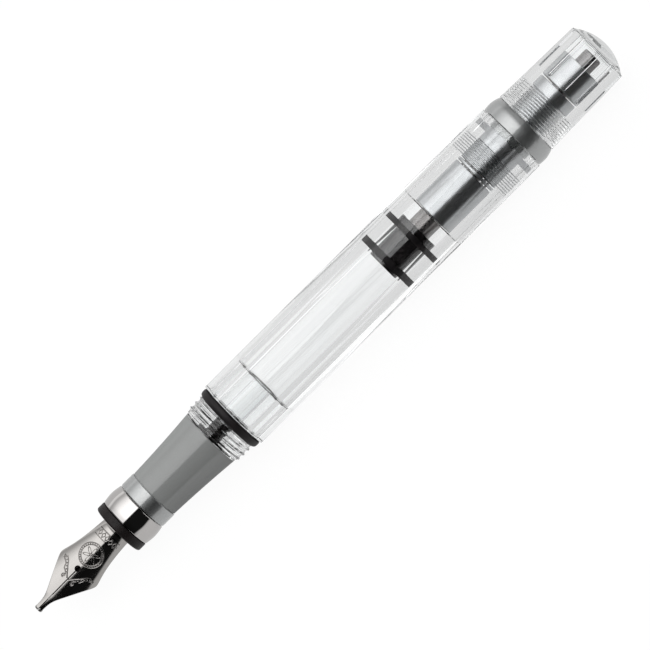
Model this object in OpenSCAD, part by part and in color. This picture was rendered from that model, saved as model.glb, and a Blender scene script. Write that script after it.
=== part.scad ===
// Transparent fountain pen with a piston filler: faceted barrel, open nib, turning knob.
// The pen lies along X on one flat of its barrel, nib towards -X. All stations below are
// distances from the tip of the nib, along the pen.

/* [Pen] */
// Overall length, from the tip of the nib to the end of the knob
pen_length = 131.1; // [131.0:0.1:131.5]
// Roll of the nib about the pen's axis, from straight up
nib_roll = 13.5; // [-30:0.5:30]

/* [Nib] */
// Half the width of the nib across its shoulders
shoulder_half = 4.12; // [3.9:0.02:4.2]
// Station of the shoulders
shoulder_at = 9.9; // [9.5:0.1:10.3]
// Half the width of the nib at its tip
tip_half = 0.7; // [0.5:0.02:0.7]
// Outer radius of the nib's tail, where the housing holds it
nib_tail_r = 2.9; // [2.85:0.05:2.9]
// Thickness of the nib's sheet
nib_sheet = 0.4; // [0.3:0.05:0.4]
// Diameter of the breather hole
breather_d = 1.1; // [0.8:0.1:1.4]
// Width of the slit
slit_w = 0.16; // [0.1:0.02:0.2]

/* [Section] */
// Station where the nib leaves its housing
flange_at = 18.65; // [18.5:0.05:18.8]
// Radius of the housing's flange
flange_r = 4.84; // [4.6:0.02:4.9]
// Largest radius of the front ring
front_ring_r = 5.1; // [4.9:0.02:5.2]
// Radius of the grip at its slimmest
grip_slim_r = 4.65; // [4.55:0.05:4.75]
// Radius of the grip where it meets the cap thread
grip_rear_r = 5.43; // [5.3:0.01:5.43]
// Crest radius of the cap thread
cap_crest_r = 5.93; // [5.8:0.01:6.0]
// Root radius of the cap thread
cap_root_r = 5.62; // [5.5:0.01:5.7]
// Pitch of the cap thread
cap_pitch = 1.12; // [1.0:0.02:1.12]

/* [Barrel] */
// Radius to the edges of the front facets
front_edge_r = 6.8; // [6.7:0.02:6.9]
// Radius to the edges of the rear facets
rear_edge_r = 6.52; // [6.5:0.02:6.6]
// Number of facets round each end
facets = 10; // [8:2:12]
// Radius of the ink chamber
chamber_r = 3.76; // [3.76:0.01:3.8]

/* [Filling mechanism] */
// Station of the piston's front face, drawn back
piston_at = 79.9; // [79.9:0.1:80.0]
// Radius of the piston's rod
rod_r = 2.23; // [2.2:0.01:2.25]
// Distance between the rod's two flats
rod_flats = 3.9; // [3.8:0.05:3.9]
// Radius of the drive screw
screw_r = 1.5; // [1.4:0.02:1.5]

/* [Knob] */
// Radius of the knob at its front edge
knob_front_r = 6.05; // [5.9:0.01:6.1]
// Radius of the knob near its end
knob_rear_r = 5.68; // [5.6:0.01:5.8]
// Radius of the knob's bore
knob_bore_r = 4.0; // [4.0:0.01:4.05]
// Number of drive splines
splines = 8; // [6:1:10]

/* [Hidden] */

$fn = 96;
eps = 0.01;                     // overshoot of a cut
gap = 0.03;                     // clearance of a fixed fit
run = 0.05;                     // radial clearance of a running fit

// The lowest edge of the barrel touches z = 0
axis_height = rear_edge_r;

// Nib: a tilted cone, wide and flat at the tip, that closes into the round tail
cone_tip_r = 9.8;
cone_tip_drop = 8.6;
nib_start = 0.55;
nib_end = 26.5;
flare_at = 2.55;
flare_slope = 0.515;
waist_half = 2.6;
waist_run = 4.4;
breather_at = 9.7;
tipping_r = 0.42;
ridge_tip = 0.6;                // height of the nib's ridge above the axis at its tip

// Housing and section stations
flange_end = 20.3;
ring_end = 24.2;
grip_at = 24.3;
grip_lip_end = 27.0;
grip_end = 40.1;
core_at = 24.35;
tube_end = 38.0;
bush_end = 40.8;
nipple_end = 43.9;
thread_at = 40.6;
thread_turns = 3;
o_ring_end = 45.35;
barrel_at = 45.5;
plug_end = 52.3;
step_at = 52.55;
housing_tube_r = 3.4;
bush_r = 2.9;
nipple_r = 1.6;
core_spigot_r = 4.15;
core_land_r = 4.9;
plug_r = 3.95;
o_ring_r = 6.25;
feed_r = 2.25;
feed_at = 3.6;
feed_end = 37.4;
ink_channel_r = 0.7;
seal_at = 35.5;
seal_w = 1.2;
gasket_t = 0.15;

// The cap thread ends a little before the O-ring that it traps
thread_end = thread_at + cap_pitch * thread_turns - 0.1;
o_ring_at = thread_end + 0.04;

// Barrel stations
front_facets_end = 62.9;
rear_facets_at = 79.2;
rear_bore_at = 91.0;
rear_bore_r = 4.05;
spigot_bore_at = 108.35;
spigot_bore_r = 4.42;
barrel_end = 109.5;

// Mechanism stations
guide_at = 91.3;
guide_end = 100.65;
guide_r = 3.98;
key_end = 95.0;
washer_at = 100.9;
washer_end = 101.4;
connector_at = 101.6;
connector_thread_end = 105.65;
rib_at = 107.1;
rib_end = 108.2;
rib_r = 4.02;
neck_r = 3.85;
neck_end = 120.1;
fine_pitch = 0.45;
knob_pitch = 0.5;
mech_bore_r = 2.6;
flange_pocket_at = 118.85;
flange_pocket_r = 3.1;
collar_at = 109.55;
collar_end = 112.75;
collar_spigot_at = 108.4;
collar_spigot_r = 4.34;

// Piston, measured back from its front face
front_seal_at = piston_at + 0.5;
front_seal_w = 1.3;
rear_seal_at = piston_at + 6.1;
rear_seal_w = 1.1;
piston_end = piston_at + 8.3;
piston_body_r = 3.3;
piston_boss_r = 3.6;
seal_seat_r = 2.9;
seal_clear = 0.06;
rod_at = piston_at + 4.7;
rod_end = 118.7;
nut_w = 3.0;
rod_bore_r = screw_r + 0.3;

// Drive screw and knob stations
screw_tip_at = piston_at + 3.6;
screw_flange_at = 118.9;
screw_flange_end = 119.4;
screw_flange_r = 2.9;
screw_shank_r = 1.6;
screw_end = 125.4;
fixing_at = 121.0;
fixing_r = 0.8;
fixing_head_at = 125.52;
fixing_head_end = 128.2;
fixing_head_r = 1.7;
retainer_at = 119.45;
retainer_end = 120.05;
retainer_bore_r = 1.8;
coupling_at = 120.4;
coupling_end = 125.5;
coupling_r = 3.93;
spline_w = 0.68;
spline_depth = 0.35;
spline_at = 120.7;
spline_phase = 23.2;
knob_at = 112.8;
knob_bend = 128.5;
knob_end_at = 129.1;
knob_seam_r = 5.62;
cap_spigot = 0.5;

// ---- Helpers --------------------------------------------------------------------------

// Puts a shape built along +Z, with the nib's tip at 0, onto the pen's axis.
// Local +X points down and local +Y stays +Y.
module along_pen() {
    translate([-pen_length / 2, 0, axis_height]) rotate([0, 90, 0]) children();
}

module rod(from, to, r) {
    translate([0, 0, from]) cylinder(h = to - from, r = r);
}

module ring(from, to, r_out, r_in) {
    difference() {
        rod(from, to, r_out);
        rod(from - eps, to + eps, r_in);
    }
}

// A turned solid from [radius, station] points
module turned(points) {
    rotate_extrude() polygon(points);
}

// Saw-tooth outline of a run of thread crests, from the root radius out and back
function teeth(from, pitch, count, root, crest, share = 0.35) = [
    for (i = [0:count - 1], p = [[root, 0], [crest, share], [crest, 1 - share], [root, 1]])
        [p[0], from + pitch * (i + 0.1 + 0.8 * p[1])]
];

// Points of an arc in [radius, station], about a centre
function arc(cr, cz, r, from, to, steps = 8) = [
    for (i = [0:steps]) let (a = from + (to - from) * i / steps) [cr + r * cos(a), cz + r * sin(a)]
];

// ---- Nib and feed ---------------------------------------------------------------------

// The cone whose surface is the nib's outer face, made smaller by inset. It starts a
// little behind the flange, so that its slanted base clears the join with the tail.
module nib_cone(inset) {
    tilt = atan(cone_tip_drop / flange_at);
    reach = sqrt(flange_at * flange_at + cone_tip_drop * cone_tip_drop) + 1;
    behind = 1.5;
    widening = (cone_tip_r - nib_tail_r) / reach;
    base_r = nib_tail_r + 0.04 - inset;
    translate([0, 0, flange_at]) rotate([0, 180 - tilt, 0]) translate([0, 0, -behind])
        cylinder(h = behind + reach, r1 = base_r - widening * behind, r2 = base_r + widening * reach);
}

// Half-width of the nib: a slim tip that flares in a straight line to the shoulders,
// where it meets the waist that narrows to the tail
function ramp(z) = 0.5 * ln(1 + exp((z - flare_at) / 0.5));
function flare(z) = tip_half + flare_slope * ramp(z);
function waist(z) = waist_half + (shoulder_half + 0.1 - waist_half) * exp((shoulder_at - z) / waist_run);
function nib_half(z) = -0.25 * ln(exp(-4 * flare(z)) + exp(-4 * waist(z)));

// Outline of the nib from above, made narrower by inset
module nib_outline(inset = 0) {
    steps = 30;
    side = concat(
        [for (i = [0:steps]) let (z = nib_start + (flange_at - nib_start) * i / steps)
            [z, max(nib_half(z) - inset, 0.1)]],
        [[nib_end, nib_half(flange_at) - inset]]
    );
    n = len(side);
    polygon(concat(side, [for (i = [0:n - 1]) [side[n - 1 - i][0], -side[n - 1 - i][1]]]));
}

// A block that follows the outline, from below the axis to above the nib; local -X is up
module nib_block(below) {
    translate([below, 0, 0]) rotate([0, -90, 0]) linear_extrude(height = below + 6) nib_outline();
}

// The side of the cone's own axis that the sheet is cut from
module upper_side() {
    rotate([90, 0, 0]) translate([0, 0, -10]) linear_extrude(height = 20) polygon([
        [-8, nib_start], [-8, flange_at + eps], [-0.6, flange_at + eps], [-0.5, flange_at - 2],
        [cone_tip_drop, nib_start]
    ]);
}

module nib() {
    color("gainsboro") along_pen() rotate([0, 0, nib_roll]) difference() {
        union() {
            intersection() {
                difference() {
                    nib_cone(0);
                    nib_cone(nib_sheet);
                }
                nib_block(cone_tip_drop);
                upper_side();
            }
            intersection() {
                ring(flange_at - 0.3, nib_end, nib_tail_r - 0.05, nib_tail_r - 0.05 - nib_sheet);
                nib_block(0);
            }
        }
        translate([-10, -slit_w / 2, 0]) cube([14, slit_w, breather_at]);
        translate([-10, 0, breather_at]) rotate([0, 90, 0]) cylinder(h = 12, d = breather_d);
    }
}

// A short round-nosed bar across the tip, parted by the slit
module nib_tipping() {
    color("silver") along_pen() rotate([0, 0, nib_roll]) difference() {
        translate([tipping_r - ridge_tip, 0, tipping_r]) rotate([90, 0, 0])
            cylinder(h = 2 * tip_half, r = tipping_r, center = true);
        translate([-5, -5, nib_start - gap]) cube([10, 10, 10]);
        translate([-5, -slit_w / 2, -1]) cube([10, slit_w, 3]);
    }
}

module feed() {
    fins = 9;
    fin_pitch = 0.95;
    fin_gap = 0.4;
    fins_at = 9.2;
    color("#1c1a1c") along_pen() rotate([0, 0, nib_roll]) difference() {
        intersection() {
            rod(feed_at, feed_end, feed_r);
            union() {
                intersection() {
                    nib_cone(nib_sheet + gap);
                    translate([4, 0, 0]) rotate([0, -90, 0]) linear_extrude(height = 10)
                        nib_outline(0.35);
                }
                rod(flange_at - eps, feed_end + 1, feed_r + 1);
            }
            rotate([90, 0, 0]) translate([0, 0, -4]) linear_extrude(height = 8) polygon([
                [-3, feed_at], [-3, feed_end], [3, feed_end], [3, 12.5], [0.2, feed_at]
            ]);
        }
        for (i = [0:fins - 1])
            translate([0.5, -4, fins_at + i * fin_pitch]) cube([4, 8, fin_gap]);
        translate([-4, -0.2, feed_at - 1]) cube([4, 0.4, feed_end]);
    }
}

module nib_housing() {
    color("#231f20") along_pen() difference() {
        turned(concat(
            [[0, flange_at], [flange_r - 0.3, flange_at]],
            arc(flange_r - 0.3, flange_at + 0.3, 0.3, -90, 0, 4),
            [[flange_r, flange_end - 0.05], [housing_tube_r, flange_end - 0.05],
                [housing_tube_r, tube_end], [bush_r, tube_end], [bush_r, bush_end],
                [nipple_r, bush_end], [nipple_r, nipple_end], [0, nipple_end]]
        ));
        rod(flange_at - eps, nib_end + 0.2, nib_tail_r + gap);
        rod(nib_end, feed_end + 0.2, feed_r + gap);
        rod(feed_end, nipple_end + eps, ink_channel_r);
        ring(seal_at, seal_at + seal_w, housing_tube_r + 1, bush_r);
    }
}

module housing_seal() {
    color("#141214") along_pen()
        ring(seal_at + gap, seal_at + seal_w - gap, housing_tube_r + gap, bush_r + 0.02);
}

// ---- Section --------------------------------------------------------------------------

module front_ring() {
    mid = (flange_end + ring_end) / 2;
    corner = 0.35;
    color("#d8d8da") along_pen() difference() {
        turned(concat(
            [[0, flange_end], [4.55, flange_end]],
            arc(4.55, flange_end + corner, corner, -90, -15, 4),
            [for (i = [0:8]) let (t = i / 8)
                [4.9 + (front_ring_r - 4.9) * sin(180 * t) - 0.1 * t,
                    flange_end + corner + (ring_end - flange_end - corner - 0.1) * t]],
            [[4.6, ring_end], [0, ring_end]]
        ));
        rod(flange_end - eps, ring_end + eps, housing_tube_r + gap);
    }
}

module grip_sleeve() {
    groove = 0.15;
    color("#7c8084") along_pen() difference() {
        turned(concat(
            [[0, grip_at], [4.6, grip_at], [4.77, grip_at + 0.17], [4.77, grip_lip_end],
                [4.5, grip_lip_end], [4.5, grip_lip_end + groove]],
            [for (i = [0:12]) let (t = i / 12)
                [grip_slim_r + (grip_rear_r - grip_slim_r) * (0.55 * t + 0.45 * t * t),
                    grip_lip_end + groove + (grip_end - grip_lip_end - groove) * t]],
            [[0, grip_end]]
        ));
        rod(grip_at - eps, grip_end + eps, core_spigot_r + gap);
    }
}

module section_core() {
    shoulder_r = 5.45;
    bore_r = housing_tube_r + 0.05;
    color([0.85, 0.88, 0.9, 0.45]) along_pen() difference() {
        turned(concat(
            [[0, core_at], [core_spigot_r, core_at], [core_spigot_r, grip_end + gap],
                [shoulder_r - 0.1, grip_end + gap], [shoulder_r, grip_end + 0.13],
                [shoulder_r, thread_at], [cap_root_r, thread_at + 0.05]],
            teeth(thread_at, cap_pitch, thread_turns, cap_root_r, cap_crest_r, 0.32),
            [[cap_root_r, thread_end], [core_land_r, thread_end],
                [core_land_r, barrel_at - 0.1], [plug_r, barrel_at - 0.1],
                [plug_r, plug_end], [0, plug_end]]
        ));
        rod(core_at - eps, tube_end + 0.1, bore_r);
        rod(tube_end, bush_end + 0.1, bush_r + gap);
        rod(bush_end, nipple_end + 0.1, nipple_r + gap);
        rod(nipple_end, plug_end + eps, 1.2);
    }
}

module section_o_ring() {
    inner = core_land_r + 0.02;
    corner = 0.45;
    color("#1e1a1c") along_pen() rotate_extrude() polygon(concat(
        [[inner, o_ring_at], [o_ring_r - corner, o_ring_at]],
        arc(o_ring_r - corner, o_ring_at + corner, corner, -90, 0, 6),
        arc(o_ring_r - corner, o_ring_end - corner, corner, 0, 90, 6),
        [[inner, o_ring_end]]
    ));
}

module section_gasket() {
    color("#2a2628") along_pen()
        ring(plug_end + 0.02, plug_end + 0.02 + gasket_t, plug_r, plug_r - 0.6);
}

// ---- Barrel ---------------------------------------------------------------------------

module barrel() {
    half_step = 180 / facets;
    color([0.88, 0.9, 0.92, 0.35]) along_pen() difference() {
        hull() {
            rotate([0, 0, half_step]) translate([0, 0, barrel_at])
                cylinder(h = front_facets_end - barrel_at, r = front_edge_r, $fn = facets);
            translate([0, 0, rear_facets_at])
                cylinder(h = barrel_end - rear_facets_at, r = rear_edge_r, $fn = facets);
        }
        rod(barrel_at - eps, step_at, plug_r + 0.05);
        rod(step_at - eps, rear_bore_at + eps, chamber_r);
        rod(rear_bore_at, barrel_end + eps, rear_bore_r);
        rod(spigot_bore_at, barrel_end + 2 * eps, spigot_bore_r);
    }
}

module rear_collar() {
    color("#7c8084") along_pen() difference() {
        turned(concat(
            [[0, collar_spigot_at], [collar_spigot_r, collar_spigot_at],
                [collar_spigot_r, collar_at], [6.22, collar_at]],
            [for (i = [0:10]) let (t = i / 10)
                [6.35 + 0.08 * sin(180 * min(t * 1.2, 1)) - 0.35 * pow(t, 4),
                    collar_at + 0.12 + (collar_end - collar_at - 0.2) * t]],
            [[5.9, collar_end], [0, collar_end]]
        ));
        rod(collar_spigot_at - eps, collar_end + eps, neck_r + run);
    }
}

// ---- Mechanism fixed in the barrel ----------------------------------------------------

// A round rod section with two flats, drawn in the plane across the pen
module keyed(r, flats) {
    intersection() {
        circle(r = r);
        square([2 * r + 1, flats], center = true);
    }
}

module piston_guide() {
    color("#c4c6c8") along_pen() difference() {
        rod(guide_at, guide_end, guide_r);
        translate([0, 0, guide_at - eps]) linear_extrude(height = key_end - guide_at + 2 * eps)
            keyed(rod_r + run, rod_flats + 2 * run);
        rod(key_end, guide_end + eps, mech_bore_r);
    }
}

module guide_washer() {
    color("#d0d0d0") along_pen() ring(washer_at, washer_end, guide_r, mech_bore_r);
}

module connector() {
    turns = floor((connector_thread_end - connector_at) / fine_pitch);
    neck_turns = 10;
    color("#c4c6c8") along_pen() difference() {
        turned(concat(
            [[0, connector_at], [3.8, connector_at]],
            teeth(connector_at, fine_pitch, turns, 3.8, rib_r, 0.45),
            [[3.9, connector_thread_end], [3.9, rib_at], [rib_r, rib_at], [rib_r, rib_end],
                [neck_r, rib_end], [neck_r, knob_at + 0.1]],
            teeth(knob_at + 0.1, knob_pitch, neck_turns, neck_r - 0.12, neck_r + 0.05, 0.45),
            [[neck_r, knob_at + 0.2 + neck_turns * knob_pitch], [neck_r, neck_end],
                [0, neck_end]]
        ));
        rod(connector_at - eps, neck_end + eps, mech_bore_r);
        rod(flange_pocket_at, neck_end + 2 * eps, flange_pocket_r);
    }
}

module spindle_retainer() {
    color("#b08d4f") along_pen()
        ring(retainer_at, retainer_end, flange_pocket_r - gap, retainer_bore_r);
}

// ---- Piston ---------------------------------------------------------------------------

module piston_body() {
    color("#1a1719") along_pen() difference() {
        turned([[0, piston_at], [piston_body_r - 0.1, piston_at], [piston_body_r, piston_at + 0.1],
            [piston_body_r, front_seal_at], [seal_seat_r, front_seal_at],
            [seal_seat_r, front_seal_at + front_seal_w],
            [piston_body_r, front_seal_at + front_seal_w], [piston_body_r, rear_seal_at],
            [seal_seat_r, rear_seal_at], [seal_seat_r, rear_seal_at + rear_seal_w],
            [piston_boss_r, rear_seal_at + rear_seal_w], [piston_boss_r, piston_end],
            [0, piston_end]]);
        rod(rod_at, piston_end + eps, rod_r + gap);
        rod(screw_tip_at - 0.6, rod_at + eps, rod_bore_r);
    }
}

module piston_seal(from, width) {
    outer = chamber_r - seal_clear;
    lip = 0.12;
    color("#121012") along_pen() difference() {
        turned([[0, from + gap], [outer - lip, from + gap], [outer, from + gap + lip],
            [outer, from + width - gap - lip], [outer - lip, from + width - gap],
            [0, from + width - gap]]);
        rod(from - eps, from + width + eps, seal_seat_r + 0.02);
    }
}

module piston_front_seal() {
    piston_seal(front_seal_at, front_seal_w);
}

module piston_rear_seal() {
    piston_seal(rear_seal_at, rear_seal_w);
}

module piston_rod() {
    color("#8d8f90") along_pen() difference() {
        translate([0, 0, rod_at + gap]) linear_extrude(height = rod_end - rod_at - gap)
            keyed(rod_r, rod_flats);
        rod(rod_at - eps, rod_end - nut_w, rod_bore_r);
        rod(rod_end - nut_w - eps, rod_end + eps, screw_r + run);
    }
}

// ---- Drive screw and knob -------------------------------------------------------------

module drive_screw() {
    color("#6f7173") along_pen() difference() {
        turned([[0, screw_tip_at], [screw_r - 0.3, screw_tip_at], [screw_r, screw_tip_at + 0.3],
            [screw_r, screw_flange_at], [screw_flange_r, screw_flange_at],
            [screw_flange_r, screw_flange_end], [screw_shank_r, screw_flange_end],
            [screw_shank_r, screw_end], [0, screw_end]]);
        rod(fixing_at - 0.2, screw_end + eps, fixing_r + gap);
    }
}

module spline_slots(from, to, width, depth, r) {
    for (i = [0:splines - 1]) rotate([0, 0, spline_phase + i * 360 / splines]) {
        translate([r - depth, -width / 2, from]) cube([depth + 1, width, to - from]);
        translate([r - depth, 0, from]) rotate([0, 90, 0]) cylinder(h = depth + 1, d = width);
    }
}

module spline_coupling() {
    color("#c4c6c8") along_pen() difference() {
        turned([[0, coupling_at], [coupling_r - 0.1, coupling_at], [coupling_r, coupling_at + 0.1],
            [coupling_r, coupling_end - 0.1], [coupling_r - 0.1, coupling_end],
            [0, coupling_end]]);
        rod(coupling_at - eps, coupling_end + eps, screw_shank_r + gap);
        spline_slots(spline_at + spline_w / 2, coupling_end + 1, spline_w, spline_depth, coupling_r);
    }
}

module coupling_screw() {
    color("#bdbfc2") along_pen() {
        rod(fixing_head_at, fixing_head_end, fixing_head_r);
        rod(fixing_at, fixing_head_at + eps, fixing_r);
    }
}

module knob_shell() {
    rib_clear = 0.05;
    rib_at_front = spline_at + spline_w / 2 + rib_clear;
    color([0.88, 0.9, 0.92, 0.4]) along_pen() {
        difference() {
            turned([[0, knob_at], [knob_front_r - 0.1, knob_at], [knob_front_r, knob_at + 0.1],
                [5.97, 115.0], [5.88, 118.0], [knob_rear_r, knob_bend],
                [knob_seam_r, knob_end_at], [0, knob_end_at]]);
            rod(knob_at - eps, knob_end_at + eps, knob_bore_r);
        }
        for (i = [0:splines - 1]) rotate([0, 0, spline_phase + i * 360 / splines])
            translate([coupling_r - spline_depth + rib_clear, -spline_w / 2 + rib_clear, rib_at_front])
                cube([knob_bore_r - coupling_r + spline_depth, spline_w - 2 * rib_clear,
                    knob_end_at - rib_at_front]);
    }
}

module knob_end_cap() {
    dome_h = pen_length - knob_end_at;
    dome_edge = 5.3;
    bulge = 0.9 * dome_h;
    dome_r = (dome_edge * dome_edge + bulge * bulge) / (2 * bulge);
    color([0.88, 0.9, 0.92, 0.4]) along_pen() {
        turned(concat(
            [[0, knob_end_at + 0.02], [knob_seam_r, knob_end_at + 0.02]],
            [for (i = [0:8]) let (a = asin(dome_edge / dome_r) * (1 - i / 8))
                [dome_r * sin(a), pen_length - dome_r + dome_r * cos(a)]]
        ));
        rod(knob_end_at - cap_spigot, knob_end_at + 0.02 + eps, 3.55);
    }
}

nib();
nib_tipping();
feed();
nib_housing();
housing_seal();
front_ring();
grip_sleeve();
section_core();
section_o_ring();
section_gasket();
barrel();
piston_guide();
guide_washer();
connector();
spindle_retainer();
rear_collar();
piston_body();
piston_front_seal();
piston_rear_seal();
piston_rod();
drive_screw();
spline_coupling();
coupling_screw();
knob_shell();
knob_end_cap();
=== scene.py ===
"""Looks for the transparent piston-filling fountain pen. Shapes are given in millimetres, as
stations along the pen and distances from its axis. place() and rolled() turn them into metres
in the row's frame."""

import math

import bmesh
import bpy
import numpy as np
from mathutils import Matrix, Vector


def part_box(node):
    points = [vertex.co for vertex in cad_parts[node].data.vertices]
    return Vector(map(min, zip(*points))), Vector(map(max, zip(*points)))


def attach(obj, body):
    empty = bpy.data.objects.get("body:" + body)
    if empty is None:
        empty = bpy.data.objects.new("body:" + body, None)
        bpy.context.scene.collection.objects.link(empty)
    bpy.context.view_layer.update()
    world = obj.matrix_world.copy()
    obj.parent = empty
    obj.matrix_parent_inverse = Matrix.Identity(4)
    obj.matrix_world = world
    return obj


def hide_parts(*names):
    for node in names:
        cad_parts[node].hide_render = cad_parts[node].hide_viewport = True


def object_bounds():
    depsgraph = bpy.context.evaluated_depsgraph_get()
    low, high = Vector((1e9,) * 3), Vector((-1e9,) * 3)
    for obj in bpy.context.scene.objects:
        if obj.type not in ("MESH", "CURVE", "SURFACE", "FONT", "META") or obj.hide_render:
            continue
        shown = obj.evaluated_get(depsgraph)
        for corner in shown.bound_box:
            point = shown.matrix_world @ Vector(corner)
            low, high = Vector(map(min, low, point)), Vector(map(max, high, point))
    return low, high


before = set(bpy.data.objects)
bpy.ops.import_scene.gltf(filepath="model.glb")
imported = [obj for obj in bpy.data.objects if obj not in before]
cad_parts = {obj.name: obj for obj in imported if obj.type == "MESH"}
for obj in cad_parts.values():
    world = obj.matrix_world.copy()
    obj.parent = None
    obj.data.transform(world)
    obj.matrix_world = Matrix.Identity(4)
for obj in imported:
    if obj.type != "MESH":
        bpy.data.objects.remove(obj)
cad_low, cad_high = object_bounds()

MM = 0.001

# ---- The pen's own frame ------------------------------------------------------------------
# Stations are millimetres from the nib's tip along the pen; the pen's axis runs along +X.

TIP_X = cad_low.x
barrel_low, barrel_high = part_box("barrel")
AXIS_Z = (barrel_low.z + barrel_high.z) / 2


def station(x):
    """Station in millimetres of a place x along the row's X axis."""
    return (x - TIP_X) / MM


def span(node):
    """First and last station of a CAD node."""
    low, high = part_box(node)
    return station(low.x), station(high.x)


def radius_of(node):
    """Largest radius of a round CAD node, in millimetres."""
    low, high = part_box(node)
    return (high.y - low.y) / 2 / MM


def place(points_mm):
    """Points given as (station, side, up) in millimetres, as row coordinates."""
    p = np.asarray(points_mm, dtype=float) * MM
    p[..., 0] += TIP_X
    p[..., 2] += AXIS_Z
    return p


# ---- Mesh helpers -------------------------------------------------------------------------

SEGMENTS = 192
SHARP_TURN = math.radians(28)
ON_AXIS = 1e-6
SAME_RADIUS = 1e-4


def make_object(name, verts, faces, material, values=None):
    """A mesh object from row coordinates, smooth but for edges that turn more than SHARP_TURN.
    values gives named numbers for the vertices, which a material can read."""
    mesh = bpy.data.meshes.new(name)
    mesh.from_pydata([tuple(v) for v in verts], [], [tuple(int(i) for i in f) for f in faces])
    for key, numbers in (values or {}).items():
        attribute = mesh.attributes.new(key, "FLOAT", "POINT")
        attribute.data.foreach_set("value", np.asarray(numbers, dtype=float))
    mesh.validate()
    obj = link_object(name, mesh, material)
    finish_mesh(obj, SHARP_TURN)
    return obj


def link_object(name, mesh, material):
    """Puts a mesh into the scene as an object with one material."""
    obj = bpy.data.objects.new(name, mesh)
    bpy.context.scene.collection.objects.link(obj)
    mesh.materials.append(material)
    return obj


def finish_mesh(obj, sharp_over):
    """Welds doubles, points the faces outward and marks the sharp edges."""
    bm = bmesh.new()
    bm.from_mesh(obj.data)
    bmesh.ops.remove_doubles(bm, verts=bm.verts, dist=1e-7)
    bmesh.ops.dissolve_degenerate(bm, edges=bm.edges, dist=1e-8)
    bmesh.ops.recalc_face_normals(bm, faces=bm.faces)
    for face in bm.faces:
        face.smooth = True
    for edge in bm.edges:
        edge.smooth = not (edge.is_manifold and edge.calc_face_angle(0.0) > sharp_over)
    bm.to_mesh(obj.data)
    bm.free()


def lathe(name, profile, material, segments=SEGMENTS, relief=None):
    """A turned solid from a closed outline of (station, radius) points in millimetres.
    relief(station, radius, angle) gives the radius at an angle, for threads and splines."""
    points = np.array(profile, dtype=float)
    angles = np.arange(segments) * 2 * math.pi / segments
    s = np.repeat(points[:, 0][:, None], segments, 1)
    r = np.repeat(points[:, 1][:, None], segments, 1)
    if relief is not None:
        r = relief(s, r, angles[None, :])
    grid = np.stack([s, r * np.sin(angles), r * np.cos(angles)], -1)
    n = len(points)
    verts = place(grid).reshape(-1, 3)
    faces = []
    for i in range(n):
        j = (i + 1) % n
        if points[i, 1] < ON_AXIS and points[j, 1] < ON_AXIS:
            continue
        for k in range(segments):
            m = (k + 1) % segments
            faces.append((i * segments + k, j * segments + k, j * segments + m, i * segments + m))
    return make_object(name, verts, faces, material)


def arc(center, radius, start, end, steps=6):
    """Points (station, radius) on an arc about center, with angles in degrees from +station."""
    turn = np.radians(np.linspace(start, end, steps + 1))
    return [(center[0] + radius * math.cos(a), center[1] + radius * math.sin(a)) for a in turn]


def chamfered(start, end, radius, edge):
    """The outer side of an outline, with both its corners cut by edge."""
    return [(start, radius - edge), (start + edge, radius), (end - edge, radius),
            (end, radius - edge)]


def ring_faces(a, b, count):
    """Faces between two rings of count points that start at the points numbered a and b."""
    return [(a + k, a + (k + 1) % count, b + (k + 1) % count, b + k) for k in range(count)]


def smoothstep(t):
    t = np.clip(t, 0, 1)
    return t * t * (3 - 2 * t)


def at_radius(r, radius):
    """Which points of an outline lie at a radius."""
    return np.abs(r - radius) < SAME_RADIUS


# ---- Materials ----------------------------------------------------------------------------

# Most values of a noise lie between these two
NOISE_LOW, NOISE_HIGH = 0.3, 0.7


def node_material(name, color, metallic=0.0, roughness=0.4, **sockets):
    """A Principled material. Extra keyword names are socket names with _ for a space."""
    mat = bpy.data.materials.new(name)
    mat.use_nodes = True
    shader = mat.node_tree.nodes["Principled BSDF"]
    shader.inputs["Base Color"].default_value = (*color, 1)
    shader.inputs["Metallic"].default_value = metallic
    shader.inputs["Roughness"].default_value = roughness
    for socket, value in sockets.items():
        shader.inputs[socket.replace("_", " ")].default_value = value
    return mat


def add_node(tree, kind, inputs=None, **settings):
    """A new node. inputs holds a value, or the output that feeds it, for each socket's name or
    number; settings are the node's own properties."""
    node = tree.nodes.new("ShaderNode" + kind)
    for key, value in settings.items():
        setattr(node, key, value)
    for socket, value in (inputs or {}).items():
        if isinstance(value, bpy.types.NodeSocket):
            tree.links.new(value, node.inputs[socket])
        else:
            node.inputs[socket].default_value = value
    return node


def drive(mat, socket, output):
    """Feeds a socket of the material's shader from a node's output."""
    mat.node_tree.links.new(output, mat.node_tree.nodes["Principled BSDF"].inputs[socket])


def noise(mat, scale, detail=4.0, stretch=(1, 1, 1)):
    """Fac output of a noise in object coordinates, with scale in cycles per metre."""
    tree = mat.node_tree
    place_in = add_node(tree, "TexCoord").outputs["Object"]
    mapping = add_node(tree, "Mapping", {"Vector": place_in, "Scale": stretch})
    texture = add_node(tree, "TexNoise", {"Vector": mapping.outputs["Vector"], "Scale": scale,
                                          "Detail": detail})
    return texture.outputs["Fac"]


def vary(mat, socket, fac, low, high):
    """Varies a value socket between low and high by fac."""
    spread = add_node(mat.node_tree, "MapRange", {
        "Value": fac, "From Min": NOISE_LOW, "From Max": NOISE_HIGH,
        "To Min": low, "To Max": high})
    drive(mat, socket, spread.outputs["Result"])


def tint(mat, fac, low, high, start=NOISE_LOW, end=NOISE_HIGH):
    """Varies the base colour between two colours by fac."""
    ramp = add_node(mat.node_tree, "ValToRGB", {"Fac": fac})
    first, last = ramp.color_ramp.elements
    first.position, first.color = start, (*low, 1)
    last.position, last.color = end, (*high, 1)
    drive(mat, "Base Color", ramp.outputs["Color"])


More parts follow.
